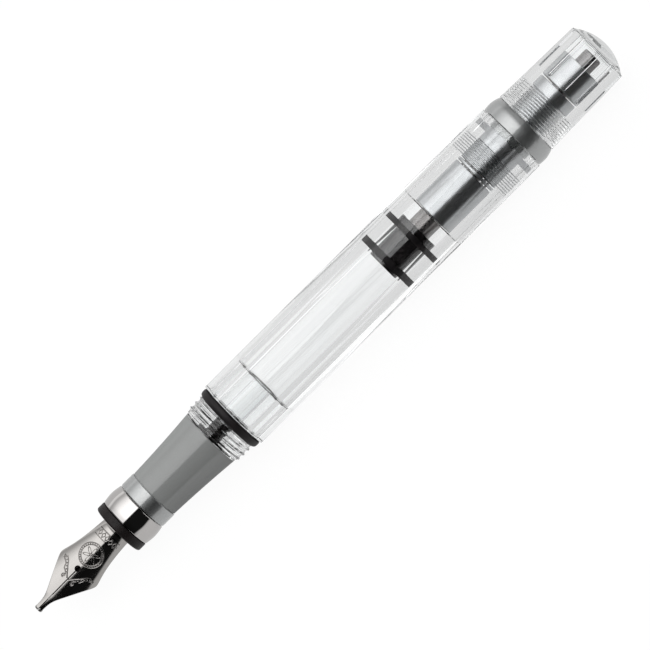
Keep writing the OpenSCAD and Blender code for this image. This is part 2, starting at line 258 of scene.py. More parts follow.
def grain(mat, fac, strength, depth_mm):
    """Adds a bump of depth_mm driven by fac."""
    bump = add_node(mat.node_tree, "Bump", {"Height": fac, "Strength": strength,
                                            "Distance": depth_mm * MM})
    drive(mat, "Normal", bump.outputs["Normal"])


def clear_plastic():
    mat = node_material("clear_acrylic", (0.98, 0.985, 0.985), roughness=0.0,
                        IOR=1.49, Transmission_Weight=1.0)
    tint(mat, noise(mat, 60), (0.955, 0.965, 0.967), (0.985, 0.99, 0.99))
    return mat


def satin_anodised():
    mat = node_material("satin_anodised_aluminium", (0.4, 0.41, 0.405), metallic=0.1,
                        roughness=0.7, Specular_IOR_Level=0.0, Coat_Weight=0.22,
                        Coat_Roughness=0.1, Coat_IOR=3.0)
    fine = noise(mat, 9000, detail=3)
    tint(mat, fine, (0.38, 0.39, 0.385), (0.42, 0.43, 0.425))
    vary(mat, "Roughness", noise(mat, 2500), 0.64, 0.74)
    grain(mat, fine, 0.3, 0.004)
    return mat


def bright_anodised():
    mat = node_material("bright_anodised_aluminium", (0.37, 0.38, 0.38), metallic=1.0,
                        roughness=0.42, Coat_Weight=1.0, Coat_Roughness=0.06, Coat_IOR=2.2)
    tint(mat, noise(mat, 9000, detail=3), (0.36, 0.37, 0.37), (0.385, 0.395, 0.395))
    vary(mat, "Roughness", noise(mat, 2500), 0.38, 0.46)
    return mat


def turned_aluminium():
    mat = node_material("turned_aluminium", (0.53, 0.54, 0.55), metallic=1.0, roughness=0.3)
    lines = noise(mat, 1400, detail=2, stretch=(8, 0.2, 0.2))
    vary(mat, "Roughness", lines, 0.28, 0.38)
    grain(mat, lines, 0.08, 0.002)
    tint(mat, noise(mat, 300), (0.5, 0.51, 0.52), (0.56, 0.57, 0.58))
    return mat


def mottled(name, color, patches, speckles, stretch=(1, 1, 1), bump_mm=0.0, **sockets):
    """A material whose colour varies in patches and its roughness in speckles. Each is given as
    its cycles per metre and the two ends of its range."""
    mat = node_material(name, color, **sockets)
    scale, dark, light = patches
    tint(mat, noise(mat, scale), dark, light)
    scale, low, high = speckles
    fine = noise(mat, scale, stretch=stretch)
    vary(mat, "Roughness", fine, low, high)
    if bump_mm:
        grain(mat, fine, 0.3, bump_mm)
    return mat


def nib_steel():
    mat = node_material("polished_nib_steel", (0.43, 0.415, 0.4), metallic=1.0, roughness=0.1)
    brushed = noise(mat, 900, detail=3, stretch=(0.25, 4, 4))
    vary(mat, "Roughness", brushed, 0.06, 0.16)
    grain(mat, brushed, 0.06, 0.002)
    # The engraved grooves are painted darker than the polished steel, as painted shade in the cuts
    cut = add_node(mat.node_tree, "Attribute", attribute_name="engraving_shade")
    tint(mat, cut.outputs["Fac"], (0.43, 0.415, 0.4), (0.25, 0.235, 0.225), start=0.15, end=1.0)
    return mat


TURNED = (8, 0.3, 0.3)

CLEAR = clear_plastic()
ANODISED = satin_anodised()
BRIGHT_ANODISED = bright_anodised()
ALUMINIUM = turned_aluminium()
CHROME = mottled("polished_chrome", (0.57, 0.553, 0.543), metallic=1.0, roughness=0.05,
                 patches=(250, (0.555, 0.54, 0.53), (0.59, 0.57, 0.56)),
                 speckles=(900, 0.02, 0.09))
NIB_STEEL = nib_steel()
GLOSS_BLACK = mottled("black_plastic", (0.02, 0.018, 0.019), roughness=0.12, IOR=1.5,
                      patches=(500, (0.018, 0.015, 0.016), (0.034, 0.03, 0.031)),
                      speckles=(1500, 0.08, 0.18))
MATT_BLACK = mottled("black_ebonite", (0.012, 0.009, 0.009), roughness=0.45,
                     patches=(700, (0.009, 0.007, 0.007), (0.018, 0.013, 0.013)),
                     speckles=(4000, 0.36, 0.55), bump_mm=0.004, Specular_IOR_Level=0.25)
RUBBER = mottled("black_rubber", (0.012, 0.01, 0.011), roughness=0.5,
                 patches=(800, (0.009, 0.007, 0.008), (0.018, 0.014, 0.015)),
                 speckles=(5000, 0.42, 0.62), bump_mm=0.004, Specular_IOR_Level=0.3)
GREY = mottled("pearl_grey_plastic", (0.27, 0.255, 0.25), metallic=0.8, roughness=0.3,
               patches=(900, (0.25, 0.235, 0.23), (0.3, 0.285, 0.28)),
               speckles=(3000, 0.24, 0.38))
BRASS = mottled("turned_brass", (0.7, 0.55, 0.3), metallic=1.0, roughness=0.25,
                patches=(500, (0.62, 0.48, 0.25), (0.74, 0.59, 0.34)),
                speckles=(1200, 0.18, 0.34), stretch=TURNED)
STEEL = mottled("turned_steel", (0.24, 0.23, 0.23), metallic=1.0, roughness=0.3,
                patches=(500, (0.21, 0.2, 0.2), (0.27, 0.26, 0.26)),
                speckles=(1200, 0.24, 0.38), stretch=TURNED)
TIPPING = mottled("hard_tipping", (0.4, 0.39, 0.38), metallic=1.0, roughness=0.28,
                  patches=(2500, (0.36, 0.35, 0.34), (0.45, 0.44, 0.43)),
                  speckles=(4000, 0.22, 0.36))


def stands_for(piece, node, body="root"):
    """The piece takes the CAD node's place and rides on a body."""
    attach(piece, body)
    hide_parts(node)


def turned(node, suffix, profile, material, slot, body="root", **how):
    """A turned piece, named by its node and a suffix, that stands for the node."""
    stands_for(lathe(node + suffix, profile, material, **how), node, body)


# ---- Turned pieces ------------------------------------------------------------------------

CAP_PITCH = 1.12
FINE_PITCH = 0.45
KNOB_PITCH = 0.5
SPLINES = 8
SPLINE_PHASE = math.radians(23.2)


def thread(start, end, pitch, depth, root_r, sharpness=1.6, steepness=1.0):
    """A relief that raises right-handed crests on the points at radius root_r. Sharpness over 1
    narrows the crests; steepness over 1 flattens crests and roots."""
    def relief(s, r, angle):
        phase = (s - start) / pitch + angle / (2 * math.pi)
        wave = np.clip(0.5 + 0.5 * steepness * np.cos(2 * math.pi * phase), 0, 1) ** sharpness
        fade = smoothstep((s - start) / (0.5 * pitch)) * smoothstep((end - s) / (0.5 * pitch))
        return r + np.where(at_radius(r, root_r), depth * wave * fade, 0)

    return relief


def two_flats(radius, flat):
    """A relief that cuts two opposite flats, flat from the axis, into the points at a radius."""
    def relief(s, r, angle):
        reach = flat / np.maximum(np.abs(np.sin(angle)), 0.01)
        return np.where(at_radius(r, radius), np.minimum(r, reach), r)

    return relief


def from_spline(angle):
    """Angle from the middle of the nearest of the coupling's splines."""
    pitch = 2 * math.pi / SPLINES
    return (angle - math.pi + SPLINE_PHASE + pitch / 2) % pitch - pitch / 2


def rows(start, end, radius, step):
    """Outline points at one radius, close enough together to carry a thread."""
    count = max(2, int(round(abs(end - start) / step)) + 1)
    return [(s, radius) for s in np.linspace(start, end, count)]


def nib_housing():
    start, end = span("nib_housing")
    flange_r = radius_of("nib_housing")
    flange_end = start + 1.6
    body_r, bush_r, nipple_r = 3.4, 2.9, 1.6
    body_end, bush_end = 38.0, 40.8
    bore_r, bore_end, feed_r, feed_end, duct_r = 2.93, 26.7, 2.3, 37.6, 0.7
    profile = (
        [(start, bore_r + 0.12), (start, flange_r - 0.35)]
        + arc((start + 0.35, flange_r - 0.35), 0.35, 180, 90)
        + arc((flange_end - 0.12, flange_r - 0.12), 0.12, 90, 0, 3)
        + [(flange_end, body_r), (body_end, body_r), (body_end, bush_r), (bush_end, bush_r),
           (bush_end, nipple_r), (end, nipple_r), (end, duct_r), (feed_end, duct_r),
           (feed_end, feed_r), (bore_end, feed_r), (bore_end, bore_r), (start + 0.12, bore_r)]
    )
    turned("nib_housing", "_black", profile, MATT_BLACK, "black_plastic")


def front_ring():
    start, end = span("front_ring")
    front_r, widest, rear_r, bore_r = 4.86, radius_of("front_ring"), 4.8, 3.43
    corner = 0.32
    length = end - start
    belly = [
        (start + corner + (length - corner - 0.15) * t,
         front_r + (widest - front_r) * math.sin(math.pi * min(1.0, t * 1.02))
         - (front_r - rear_r) * t)
        for t in np.linspace(0, 1, 25)
    ]
    profile = (
        [(start, bore_r), (start, front_r - corner)]
        + arc((start + corner, front_r - corner), corner, 180, 90)[:-1]
        + belly + [(end, rear_r - 0.15), (end, bore_r)]
    )
    turned("front_ring", "_chrome", profile, CHROME, "chrome_ring")


def grip_sleeve():
    start, end = span("grip_sleeve")
    lip_r, lip_end, gap, gap_r, slim_r, bore_r = 4.77, 27.0, 0.15, 4.5, 4.65, 4.18
    rear_r = radius_of("grip_sleeve")
    flare = [
        (lip_end + gap + 0.05 + (end - lip_end - gap - 0.1) * t,
         slim_r + (rear_r - slim_r) * (0.55 * t + 0.45 * t * t))
        for t in np.linspace(0, 1, 41)
    ]
    profile = (
        [(start, bore_r), (start, lip_r - 0.2)]
        + arc((start + 0.2, lip_r - 0.2), 0.2, 180, 90, 4)
        + [(lip_end - 0.05, lip_r), (lip_end, lip_r - 0.05), (lip_end, gap_r),
           (lip_end + gap, gap_r), (lip_end + gap, slim_r - 0.05)]
        + flare + [(end, rear_r - 0.06), (end, bore_r)]
    )
    obj = lathe("grip_sleeve_satin", profile, ANODISED)
    obj.data.materials.append(BRIGHT_ANODISED)
    # The lip is brighter than the flare
    for face in obj.data.polygons:
        face.material_index = int(station(face.center.x) < lip_end + gap / 2)
    stands_for(obj, "grip_sleeve")


def section_core():
    start, end = span("section_core")
    spigot_r, collar_r, root_r, land_r, plug_r = 4.15, 5.45, 5.62, 4.9, 3.95
    crest_r = radius_of("section_core")
    grip_end = span("grip_sleeve")[1]
    thread_end = span("section_o_ring")[0] - 0.03
    thread_start = grip_end + 0.45
    front = span("barrel")[0] - 0.1
    body_bore, body_end, bush_bore, bush_end = 3.45, 38.1, 2.93, 40.9
    nipple_bore, nipple_end, duct = 1.63, 44.0, 1.2
    profile = (
        [(start, body_bore), (start, spigot_r), (grip_end + 0.03, spigot_r),
         (grip_end + 0.03, collar_r - 0.08), (grip_end + 0.11, collar_r),
         (thread_start - 0.05, collar_r)]
        + rows(thread_start, thread_end, root_r, 0.05)
        + [(thread_end, land_r), (front, land_r), (front, plug_r), (end - 0.1, plug_r),
           (end, plug_r - 0.1), (end, duct), (nipple_end, duct), (nipple_end, nipple_bore),
           (bush_end, nipple_bore), (bush_end, bush_bore), (body_end, bush_bore),
           (body_end, body_bore)]
    )
    relief = thread(thread_start, thread_end + 0.3, CAP_PITCH, crest_r - root_r, root_r,
                    sharpness=2.2)
    turned("section_core", "_clear", profile, CLEAR, "clear_plastic", relief=relief)


def section_o_ring():
    start, end = span("section_o_ring")
    outer = radius_of("section_o_ring")
    inner, corner, rear_corner = 4.93, 0.7, 0.35
    profile = (
        [(start, inner)]
        + arc((start + corner, outer - corner), corner, 180, 90, 10)
        + arc((end - rear_corner, outer - rear_corner), rear_corner, 90, 0)
        + [(end, inner)]
    )
    turned("section_o_ring", "_black", profile, RUBBER, "seal_rubber")


def section_gasket():
    middle = sum(span("section_gasket")) / 2
    half, outer, inner = 0.05, 4.02, 3.4
    profile = [(middle - half, inner), (middle - half, outer),
               (middle + half, outer), (middle + half, inner)]
    turned("section_gasket", "_thin", profile, RUBBER, "seal_rubber")


def piston_guide():
    start, end = span("piston_guide")
    outer, key_r, flat, key_end, bore = radius_of("piston_guide"), 2.28, 2.0, 95.0, 2.6
    profile = ([(start, key_r)] + chamfered(start, end, outer, 0.1)
               + [(end, bore), (key_end, bore), (key_end, key_r)])
    turned("piston_guide", "_tube", profile, ALUMINIUM, "turned_aluminium",
           relief=two_flats(key_r, flat))


def guide_washer():
    start, end = span("guide_washer")
    outer, bore = radius_of("guide_washer"), 2.6
    profile = [(start, bore)] + chamfered(start, end, outer, 0.08) + [(end, bore)]
    turned("guide_washer", "_thin", profile, ALUMINIUM, "turned_aluminium")


def connector():
    start, end = span("connector")
    thread_end, root_r, waist_r = 105.65, 3.8, 3.9
    rib_start, rib_end, rib_r = 107.1, 108.2, 4.09
    neck_r, neck_root_r, neck_crest = 3.85, 3.73, 0.17
    neck_thread, neck_thread_end = 112.95, 118.0
    bore, pocket_start, pocket_r = 2.6, 118.85, 3.1
    profile = (
        [(start, bore), (start, root_r)]
        + rows(start + 0.02, thread_end, root_r, 0.03)
        + [(thread_end + 0.02, waist_r), (rib_start, waist_r), (rib_start, rib_r),
           (rib_end, rib_r), (rib_end, neck_r), (neck_thread - 0.05, neck_r)]
        + rows(neck_thread, neck_thread_end, neck_root_r, 0.03)
        + [(neck_thread_end + 0.05, neck_r), (end - 0.1, neck_r), (end, neck_r - 0.1),
           (end, pocket_r), (pocket_start, pocket_r), (pocket_start, bore)]
    )
    barrel_thread = thread(start, thread_end, FINE_PITCH, rib_r - root_r, root_r,
                           sharpness=1, steepness=2)
    knob_thread = thread(neck_thread, neck_thread_end, KNOB_PITCH, neck_crest, neck_root_r)

    def both(s, r, angle):
        return knob_thread(s, barrel_thread(s, r, angle), angle)

    turned("connector", "_threaded", profile, ALUMINIUM, "turned_aluminium", relief=both)


def rear_collar():
    start, end = span("rear_collar")
    spigot_r, collar_start, bore = 4.34, span("barrel")[1] + 0.05, 3.9
    widest = radius_of("rear_collar")
    round_side = [
        (collar_start + 0.12 + (end - collar_start - 0.2) * t,
         widest - 0.08 + 0.08 * math.sin(math.pi * min(t * 1.2, 1)) - 0.35 * t ** 4)
        for t in np.linspace(0, 1, 25)
    ]
    profile = (
        [(start, bore), (start, spigot_r), (collar_start, spigot_r), (collar_start, widest - 0.2)]
        + round_side + [(end, widest - 0.55), (end, bore)]
    )
    turned("rear_collar", "_bright", profile, BRIGHT_ANODISED, "satin_anodised")


def piston_body():
    start, end = span("piston_body")
    body_r, boss_r, seat_r, rod_r = 3.3, radius_of("piston_body"), 2.9, 2.26
    front, front_end = start + 0.5, start + 1.8
    rear, rear_end = start + 6.1, start + 7.2
    pocket, tip, tip_r = start + 4.7, start + 3.0, 1.8
    profile = [
        (start, 0), (start, body_r - 0.12), (start + 0.12, body_r), (front, body_r),
        (front, seat_r), (front_end, seat_r), (front_end, body_r), (rear, body_r),
        (rear, seat_r), (rear_end, seat_r), (rear_end, boss_r), (end - 0.08, boss_r),
        (end, boss_r - 0.08), (end, rod_r), (pocket, rod_r), (pocket, tip_r), (tip, tip_r),
        (tip, 0),
    ]
    turned("piston_body", "_black", profile, GLOSS_BLACK, "black_plastic", "piston")


CHAMBER_R = 3.76
SEAL_PRESS = 0.02


def piston_seal(node):
    """A seal ring that presses into the chamber's wall by SEAL_PRESS."""
    start, end = span(node)
    outer, inner, lip = CHAMBER_R + SEAL_PRESS, 2.92, 0.03
    profile = [(start, inner)] + chamfered(start, end, outer, lip) + [(end, inner)]
    turned(node, "_ring", profile, RUBBER, "seal_rubber", "piston")


def piston_rod():
    start, end = span("piston_rod")
    outer, flat, bore, nut_bore, nut = 2.23, 1.95, 1.8, 1.55, 3.0
    profile = [(start, bore), (start, outer), (end, outer), (end, nut_bore), (end - nut, nut_bore),
               (end - nut, bore)]
    turned("piston_rod", "_grey", profile, GREY, "grey_plastic", "piston",
           relief=two_flats(outer, flat))


def drive_screw():
    start, end = span("drive_screw")
    root_r, crest, flange_r, shank_r = 1.3, 0.2, 2.9, 1.6
    flange, flange_end, hole, hole_start = 118.9, 119.4, 0.83, 120.8
    lead, starts = 7.0, 4
    thread_end = flange - 1.0
    profile = (
        [(start, 0), (start, root_r)]
        + rows(start + 0.02, thread_end, root_r, 0.25)
        + [(flange, root_r), (flange, flange_r), (flange_end, flange_r), (flange_end, shank_r),
           (end, shank_r), (end, hole), (hole_start, hole), (hole_start, 0)]
    )
    relief = thread(start, thread_end, lead / starts, crest, root_r)

    def steep(s, r, angle):
        return relief(s, r, angle * starts)

    turned("drive_screw", "_steep", profile, STEEL, "screw_steel", "spindle",
           segments=96, relief=steep)


def spline_coupling():
    start, end = span("spline_coupling")
    outer, bore = radius_of("spline_coupling"), 1.63
    slot_half, depth, slot_start, slot_soft = 0.34, 0.35, start + 0.3, 0.06
    hub_r, hub_recess, rim = 2.7, 0.6, 0.2
    profile = (
        [(start, bore), (start, outer - 0.12), (start + 0.12, outer)]
        + rows(start + 0.14, end - 0.1, outer, 0.04)
        + [(end - 0.08, outer), (end, outer - 0.08), (end, hub_r), (end - hub_recess, hub_r - 0.1),
           (end - hub_recess, bore)]
    )

    def slotted(s, r, angle):
        across = np.abs(from_spline(angle)) * outer
        ahead = np.clip(slot_start + slot_half - s, 0, None)
        inside = slot_half - np.sqrt(across ** 2 + ahead ** 2)
        cut = depth * smoothstep(inside / slot_soft + 0.5)
        return np.where(r > outer - rim, r - cut, r)

    turned("spline_coupling", "_slotted", profile, ALUMINIUM, "turned_aluminium", "spindle",
           segments=768, relief=slotted)


def coupling_screw():
    start, end = span("coupling_screw")
    head_r, head_start = radius_of("coupling_screw"), span("spline_coupling")[1] + 0.02
    shank_r, socket_r, socket_depth, corner = 0.8, 0.75, 0.9, 0.3
    profile = (
        [(start, 0), (start, shank_r), (head_start, shank_r), (head_start, head_r - 0.1),
         (head_start + 0.1, head_r), (end - corner, head_r)]
        + arc((end - corner, head_r - corner), corner, 90, 0)
        + [(end, socket_r), (end - socket_depth, socket_r), (end - socket_depth, 0)]
    )

    def hexagon(s, r, angle):
        side = math.pi / 3
        local = (angle + side / 2) % side - side / 2
        return np.where(at_radius(r, socket_r), socket_r / np.cos(local), r)

    turned("coupling_screw", "_socket", profile, STEEL, "screw_steel", "spindle",
           relief=hexagon)


# Outside of the knob as (station, radius), and the seam between its shell and its end cap
KNOB_SIDE = [(115.0, 5.97), (118.0, 5.88), (128.5, 5.68)]
KNOB_SEAM_R = 5.62
KNOB_BORE_R = 4.0


def knob_shell():
    start, end = span("knob_shell")
    front_r = radius_of("knob_shell")
    thread_start, thread_end, thread_crest, thread_fade = start + 0.1, start + 5.2, 0.13, 0.3
    rib_start, rib_half, rib_r = span("spline_coupling")[0] + 0.6, 0.29, 3.63
    profile = (
        [(start, KNOB_BORE_R), (start, front_r - 0.15)]
        + arc((start + 0.15, front_r - 0.15), 0.15, 180, 90, 4)
        + KNOB_SIDE
        + [(end - 0.06, KNOB_SEAM_R + 0.03), (end, KNOB_SEAM_R - 0.05), (end, KNOB_BORE_R)]
        + rows(end - 0.02, rib_start - 0.1, KNOB_BORE_R, 0.1)
        + rows(thread_end, thread_start, KNOB_BORE_R, 0.03)
    )

    def inside(s, r, angle):
        across = np.abs(from_spline(angle)) * KNOB_BORE_R
        rib = smoothstep((rib_half - across) / 0.05 + 0.5) * smoothstep((s - rib_start) / 0.1 + 0.5)
        phase = (s - thread_start) / KNOB_PITCH + angle / (2 * math.pi)
        wave = 0.5 - 0.5 * np.cos(2 * math.pi * phase)
        fade = (smoothstep((s - thread_start) / thread_fade)
                * smoothstep((thread_end - s) / thread_fade))
        inward = (KNOB_BORE_R - rib_r) * rib + thread_crest * wave * fade
        return r - np.where(at_radius(r, KNOB_BORE_R), inward, 0)

    turned("knob_shell", "_clear", profile, CLEAR, "clear_plastic", "knob",
           segments=512, relief=inside)


def knob_end_cap():
    start, end = span("knob_end_cap")
    shell_end = span("knob_shell")[1]
    spigot_r, dome_edge = 3.55, 5.3
    bulge = 0.9 * (end - shell_end)
    dome_r = (dome_edge ** 2 + bulge ** 2) / (2 * bulge)
    turn = np.linspace(math.asin(dome_edge / dome_r), 0, 28)
    dome = [(end - dome_r + dome_r * math.cos(a), dome_r * math.sin(a)) for a in turn]
    profile = (
        [(start, 0), (start, spigot_r - 0.05), (start + 0.05, spigot_r),
         (shell_end + 0.02, spigot_r), (shell_end + 0.02, KNOB_SEAM_R - 0.05),
         (shell_end + 0.08, KNOB_SEAM_R - 0.01)]
        + dome[:-1] + [(end, 0)]
    )
    turned("knob_end_cap", "_clear", profile, CLEAR, "clear_plastic", "knob")


# ---- Barrel -------------------------------------------------------------------------------

FACETS = 10


def decagon(s, radius, first):
    """Corners of one of the barrel's faceted sections, as row coordinates."""
    turn = math.radians(first) + np.arange(FACETS) * 2 * math.pi / FACETS
    return place(np.stack([np.full(FACETS, s), radius * np.sin(turn), radius * np.cos(turn)], -1))


def apply_modifier(obj, kind, **settings):
    """Adds a modifier and makes it permanent."""
    mod = obj.modifiers.new(kind.lower(), kind)
    for key, value in settings.items():
        setattr(mod, key, value)
    with bpy.context.temp_override(object=obj, active_object=obj, selected_objects=[obj]):
        bpy.ops.object.modifier_apply(modifier=mod.name)


def barrel():
    """Ten flats in front, turned by half a flat towards the rear, with a stepped bore."""
    start, end = span("barrel")
    front_edge_r, rear_edge_r, front_end, rear_start = 6.8, 6.52, 62.9, 79.2
    plug_bore, plug_end, rear_bore, rear_bore_start = 4.0, 52.55, 4.05, 91.0
    spigot_bore, spigot_start = 4.42, 108.35
    edge_round, step_round, past = 0.1, 0.06, 0.3
    bm = bmesh.new()
    half_step = 180 / FACETS
    for s, radius, first in ((start, front_edge_r, half_step), (front_end, front_edge_r, half_step),
                             (rear_start, rear_edge_r, 0), (end, rear_edge_r, 0)):
        for corner in decagon(s, radius, first):
            bm.verts.new(corner)
    bmesh.ops.convex_hull(bm, input=bm.verts)
    bmesh.ops.dissolve_limit(bm, angle_limit=math.radians(0.5), verts=bm.verts, edges=bm.edges)
    bmesh.ops.recalc_face_normals(bm, faces=bm.faces)
    bmesh.ops.bevel(bm, geom=bm.edges, offset=edge_round * MM, offset_type="OFFSET", segments=4,
                    profile=0.5, affect="EDGES", clamp_overlap=True)
    mesh = bpy.data.meshes.new("barrel_clear")
    bm.to_mesh(mesh)
    bm.free()
    obj = link_object("barrel_clear", mesh, CLEAR)
    bore = [
        (start - past, 0), (start - past, plug_bore), (plug_end, plug_bore),
        (plug_end + step_round, CHAMBER_R + step_round), (plug_end + 2 * step_round, CHAMBER_R),
        (rear_bore_start, CHAMBER_R), (rear_bore_start + 0.2, rear_bore), (spigot_start, rear_bore),
        (spigot_start, spigot_bore), (end + past, spigot_bore), (end + past, 0),
    ]
    cutter = lathe("bore_cutter", bore, CLEAR, segments=256)
    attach(cutter, "root")
    apply_modifier(obj, "BOOLEAN", object=cutter, operation="DIFFERENCE", solver="EXACT")
    bpy.data.objects.remove(cutter)
    finish_mesh(obj, sharp_over=math.radians(20))
    apply_modifier(obj, "WEIGHTED_NORMAL", mode="FACE_AREA", weight=90, keep_sharp=True)
    stands_for(obj, "barrel")


# ---- Nib and feed -------------------------------------------------------------------------

NIB_ROLL = math.radians(13.5)
NIB_SHEET = 0.38
FLANGE_AT = 18.65
CONE_DROP = 8.6
CONE_TIP_R = 9.8
TAIL_R = 2.9
CONE_BASE_R = TAIL_R + 0.04
CONE_TILT = math.atan(CONE_DROP / FLANGE_AT)
CONE_WIDENING = (CONE_TIP_R - TAIL_R) / (math.hypot(FLANGE_AT, CONE_DROP) + 1)
NIB_START = 0.5
NIB_END = 26.5
BREATHER_AT, BREATHER_R = 9.7, 0.55
SLIT_HALF = 0.1
SLIT_AT_TIP, SLIT_OPENING = 0.8, 0.2
SLIT_PINCH = 0.15
TIP_HALF = 0.7
TIP_CROWN_R = 2.2


def rolled(points_mm):
    """(station, side, up) points turned about the pen's axis by the nib's roll, then placed."""
    p = np.asarray(points_mm, dtype=float)
    side, up = p[..., 1], p[..., 2]
    return place(np.stack([p[..., 0], side * math.cos(NIB_ROLL) - up * math.sin(NIB_ROLL),
                           side * math.sin(NIB_ROLL) + up * math.cos(NIB_ROLL)], -1))


def nib_half_width(z):
    """Half the nib's width: narrow tines that flare to the shoulders, and a waist behind them."""
    flare_at, flare_soft, flare_slope = 2.55, 0.5, 0.515
    waist_half, shoulder_half, shoulder_at, waist_reach = 2.6, 4.22, 9.9, 4.4
    turn = 4
    ramp = flare_soft * np.log1p(np.exp((z - flare_at) / flare_soft))
    flare = TIP_HALF + flare_slope * ramp
    waist = waist_half + (shoulder_half - waist_half) * np.exp((shoulder_at - z) / waist_reach)
    return -np.log(np.exp(-turn * flare) + np.exp(-turn * waist)) / turn


def nib_height(z, side, inset=0.0):
    """Height above the axis of the nib's cone at a station and side, pulled in by inset. The place
    along the cone's own axis is found by halving."""
    low = np.full(np.broadcast(z, side).shape, -3.0)
    high = np.full(low.shape, 30.0)
    sin_t, cos_t = math.sin(CONE_TILT), math.cos(CONE_TILT)

    def at(s):
        r = CONE_BASE_R - inset + CONE_WIDENING * s
        rise = np.sqrt(np.maximum(r * r - side * side, 0))
        return FLANGE_AT - s * cos_t - rise * sin_t, rise * cos_t - s * sin_t

    for _ in range(50):
        mid = (low + high) / 2
        too_far = at(mid)[0] < z
        high = np.where(too_far, mid, high)
        low = np.where(too_far, low, mid)
    return at((low + high) / 2)[1]


def tip_crown(z, side):
    """How much the surface falls away from the slit near the tip, where the tines are rounder."""
    crown_length = 3.0
    return side ** 2 / (2 * TIP_CROWN_R) * (1 - smoothstep((z - NIB_START) / crown_length))


def nib_outer(z, side):
    """Height of the nib's sheet: the cone in front, blending into the round tail."""
    blend_length, tail_r = 0.6, TAIL_R - 0.05
    blend = smoothstep((z - (FLANGE_AT - blend_length)) / blend_length)
    cone = nib_height(np.minimum(z, FLANGE_AT), side) - tip_crown(z, side)
    tail = np.sqrt(np.maximum(tail_r * tail_r - side * side, 0))
    return cone * (1 - blend) + tail * blend


def groove(distance, half_width, soft):
    """How deep a cut is, 0 to 1, at a distance from its middle, with an edge softened over soft."""
    return 1 - smoothstep((distance - half_width) / soft)


def stroke(z, side, path, half_width):
    """How deep a cut along a path of (station, side) points is at each place, 0 to 1."""
    best = np.full(z.shape, 9.0)
    for (z0, y0), (z1, y1) in zip(path[:-1], path[1:]):
        dz, dy = z1 - z0, y1 - y0
        t = np.clip(((z - z0) * dz + (side - y0) * dy) / (dz * dz + dy * dy), 0, 1)
        best = np.minimum(best, np.hypot(z - z0 - t * dz, side - y0 - t * dy))
    return groove(best, half_width * 0.5, half_width * 0.9)


def curl(center, start_r, end_r, start, end, steps=26):
    """A spiral of (station, side) points, with angles in degrees from +station."""
    t = np.linspace(0, 1, steps)
    angle = np.radians(start + (end - start) * t)
    radius = start_r + (end_r - start_r) * t
    return list(zip(center[0] + radius * np.cos(angle), center[1] + radius * np.sin(angle)))


def smooth_path(points, steps=10):
    """A Catmull-Rom curve through (station, side) points."""
    p = np.array([points[0]] + list(points) + [points[-1]], dtype=float)
    out = []
    for i in range(1, len(p) - 2):
        for t in np.linspace(0, 1, steps, endpoint=False):
            a, b, c, d = p[i - 1], p[i], p[i + 1], p[i + 2]
            out.append(tuple(0.5 * (2 * b + (c - a) * t + (2 * a - 5 * b + 4 * c - d) * t ** 2
                                    + (3 * b - a - 3 * c + d) * t ** 3)))
    return out + [tuple(p[-2])]


def scrolls(z, y):
    """Two mirrored scrolls with a row of berries beside each. y is the distance from the middle."""
    fine = 0.075
    outer = (
        curl((7.25, 0.95), 0.1, 0.36, -200, 190)
        + smooth_path([(7.6, 0.85), (7.95, 1.25), (8.2, 1.75), (8.75, 2.0), (9.1, 2.4),
                       (9.35, 2.95)])
    )
    inner = smooth_path([(7.35, 0.2), (7.95, 0.75), (8.45, 1.15), (8.85, 1.55), (9.45, 2.0),
                         (9.95, 2.75)])
    berries = [
        groove(np.hypot(z - at, y - off), 0.08, 0.06)
        for at, off in ((7.9, 0.98), (8.28, 1.34), (8.68, 1.66), (9.06, 1.98), (9.42, 2.36),
                        (9.7, 2.8))
    ]
    return np.maximum.reduce([
        stroke(z, y, outer, fine), stroke(z, y, inner, fine * 0.9),
        stroke(z, y, curl((9.55, 3.1), 0.05, 0.26, 0, 400), fine * 0.9), *berries,
    ])


def rosette(z, side):
    """Six petals and a small heart in two rings, with beads between the rings."""
    center, outer, inner, heart = 12.85, 2.1, 1.72, 0.2
    petals, beads = 6, 30
    out = np.hypot(z - center, side)
    turn = np.arctan2(side, z - center)
    petal_edge = 0.35 + 1.05 * (0.5 + 0.5 * np.cos(petals * turn)) ** 1.3
    bead_gaps = smoothstep((np.cos(beads * turn) - 0.1) / 0.4)
    return np.maximum.reduce([
        groove(np.abs(out - outer), 0.04, 0.06), groove(np.abs(out - inner), 0.03, 0.05),
        groove(np.abs(out - petal_edge), 0.05, 0.06),
        groove(np.abs(out - (outer + inner) / 2), 0.05, 0.05) * bead_gaps,
        groove(np.abs(out - heart), 0.05, 0.05),
    ])


def lozenge_band(z, side):
    """Two rules across the nib with lozenges between them."""
    front, rear, half_length = 15.95, 17.35, 2.2
    cell, cell_half, cell_up = 0.8, 0.3, 0.48
    local = (side + cell / 2) % cell - cell / 2
    lozenge = np.abs(local) / cell_half + np.abs(z - (front + rear) / 2) / cell_up
    band = np.maximum.reduce([
        groove(np.abs(z - front), 0.03, 0.06), groove(np.abs(z - rear), 0.03, 0.06),
        groove(np.abs(lozenge - 1), 0.12, 0.18),
    ])
    return band * (np.abs(side) < half_length)


def ornament(z, side):
    """Engraving depth, 0 to 1, of the plain ornament on the nib."""
    return np.maximum.reduce([scrolls(z, np.abs(side)), rosette(z, side), lozenge_band(z, side)])


